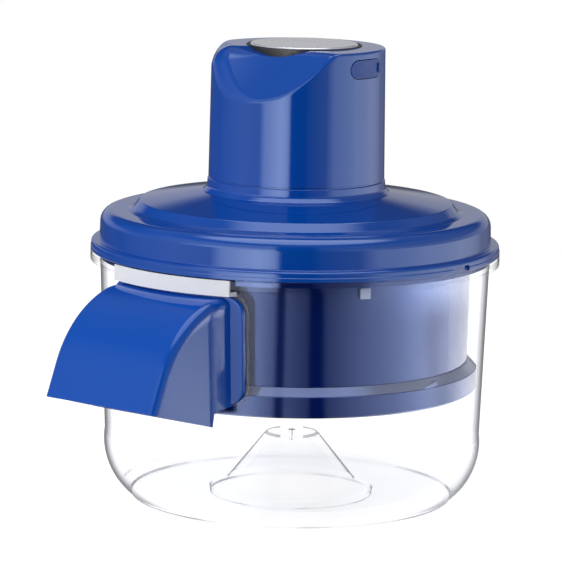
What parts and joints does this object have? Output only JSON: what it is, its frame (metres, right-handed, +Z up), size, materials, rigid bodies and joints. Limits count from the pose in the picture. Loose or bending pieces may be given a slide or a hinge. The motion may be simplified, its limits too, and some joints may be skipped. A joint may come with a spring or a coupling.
{
  "type": "cordless bowl processor with discharge chute",
  "caption": "Clear bowl with a central cone, a lift-out drum with a spinning paddle rotor, a pull-off side discharge chute and a lid that carries a push-button cordless motor head.",
  "frame": {"origin": "on the bowl's axis, in the plane of the foot ring that it stands on", "axes": "+Z up along the bowl's axis, -Y the front with the sloping facet, +X to the right seen from the front; the chute points 38 degrees left of the front"},
  "size_m": [0.1625, 0.1771, 0.1668],
  "materials": {
    "clear_plastic": "clear, polished",
    "steel": "satin",
    "silicone_white": "translucent, satin",
    "silicone_grey": "satin",
    "blue_plastic": "high gloss",
    "navy_plastic": "high gloss",
    "grey_plastic": "satin",
    "black_plastic": "matt",
    "brass": "machined",
    "gear_plastic": "moulded",
    "rubber_black": "matt",
    "zinc_steel": "zinc plated",
    "magnet": "matt",
    "circuit_board": "solder mask",
    "silver_plastic": "metallic silver, polished",
    "rubber_blue": "satin",
    "cell_wrap": "shrink wrapped"
  },
  "bodies": {
    "base": {"bowl_wall": "clear_plastic", "bowl_shoulder": "clear_plastic", "bowl_floor": "clear_plastic", "bowl_cone": "clear_plastic", "bowl_cone_cap": "clear_plastic", "bowl_centre_pin": "steel", "chute_gasket": "silicone_white"},
    "chute": {"chute": "blue_plastic"},
    "drum": {"drum_wall": "navy_plastic", "drum_collar": "navy_plastic", "drum_floor": "grey_plastic", "drum_spindle": "steel"},
    "rotor": {"rotor_disc": "grey_plastic", "rotor_paddles": "silicone_grey", "rotor_bush": "brass"},
    "lid": {"lid_shell": "blue_plastic", "lid_seal": "silicone_white", "lid_base_plate": "blue_plastic", "lid_screws": "steel", "gearbox_case": "black_plastic", "gearbox_cover": "black_plastic", "gearbox_screws": "steel", "ring_gear": "gear_plastic", "output_bush": "brass", "shaft_seal": "rubber_black", "motor_can": "zinc_steel", "motor_magnets": "magnet", "motor_screws": "steel", "motor_end_cap": "black_plastic", "motor_housing": "blue_plastic", "housing_screws": "steel", "battery_holder": "black_plastic", "battery_cell_1": "cell_wrap", "battery_cell_2": "cell_wrap", "control_board": "circuit_board", "board_screws": "steel", "power_switch": "black_plastic", "button_spring": "steel", "button_ring": "black_plastic", "charge_board": "circuit_board", "usb_socket": "zinc_steel"},
    "output": {"planet_carrier": "steel", "drive_coupling": "gear_plastic"},
    "sun": {"sun_gear": "brass", "motor_shaft": "steel", "motor_armature": "steel"},
    "planet_1": {"planet_gear_1": "gear_plastic"},
    "planet_2": {"planet_gear_2": "gear_plastic"},
    "planet_3": {"planet_gear_3": "gear_plastic"},
    "button": {"button_cap": "silver_plastic"},
    "port_cover": {"port_cover": "rubber_blue"}
  },
  "joints": [
    {"name": "lid_lift", "type": "slide", "parent": "base", "child": "lid", "axis": [0, 0, 1], "range_m": [0, 0.09]},
    {"name": "drum_lift", "type": "slide", "parent": "base", "child": "drum", "axis": [0, 0, 1], "range_m": [0, 0.045]},
    {"name": "chute_pull", "type": "slide", "parent": "base", "child": "chute", "axis": [-0.6157, -0.788, 0], "range_m": [0, 0.05]},
    {"name": "rotor_spin", "type": "hinge", "parent": "drum", "child": "rotor", "pos_m": [0, 0, 0.05], "axis": [0, 0, 1], "continuous": true},
    {"name": "output_spin", "type": "hinge", "parent": "lid", "child": "output", "pos_m": [0, 0, 0.09], "axis": [0, 0, 1], "continuous": true},
    {"name": "motor_spin", "type": "hinge", "parent": "lid", "child": "sun", "pos_m": [0, 0, 0.12], "axis": [0, 0, 1], "continuous": true},
    {"name": "planet_1_spin", "type": "hinge", "parent": "output", "child": "planet_1", "pos_m": [0.012, 0, 0.1], "axis": [0, 0, 1], "continuous": true},
    {"name": "planet_2_spin", "type": "hinge", "parent": "output", "child": "planet_2", "pos_m": [-0.006, 0.01039, 0.1], "axis": [0, 0, 1], "continuous": true},
    {"name": "planet_3_spin", "type": "hinge", "parent": "output", "child": "planet_3", "pos_m": [-0.006, -0.01039, 0.1], "axis": [0, 0, 1], "continuous": true},
    {"name": "button_press", "type": "slide", "parent": "lid", "child": "button", "axis": [0, 0, -1], "range_m": [0, 0.0015], "stiffness_N_per_m": 500, "springref_m": -0.002, "deforming": ["button_spring"]},
    {"name": "port_cover_swing", "type": "hinge", "parent": "lid", "child": "port_cover", "pos_m": [0.01879, -0.02559, 0.16], "axis": [0, 0, -1], "range_deg": [0, 100], "stiffness_Nm_per_rad": 0.001}
  ],
  "couplings": [
    {"joint": "drum_lift", "follows": "lid_lift", "ratio": 0.5},
    {"joint": "output_spin", "follows": "rotor_spin", "ratio": 1},
    {"joint": "motor_spin", "follows": "rotor_spin", "ratio": 4},
    {"joint": "planet_1_spin", "follows": "rotor_spin", "ratio": -3},
    {"joint": "planet_2_spin", "follows": "rotor_spin", "ratio": -3},
    {"joint": "planet_3_spin", "follows": "rotor_spin", "ratio": -3}
  ]
}
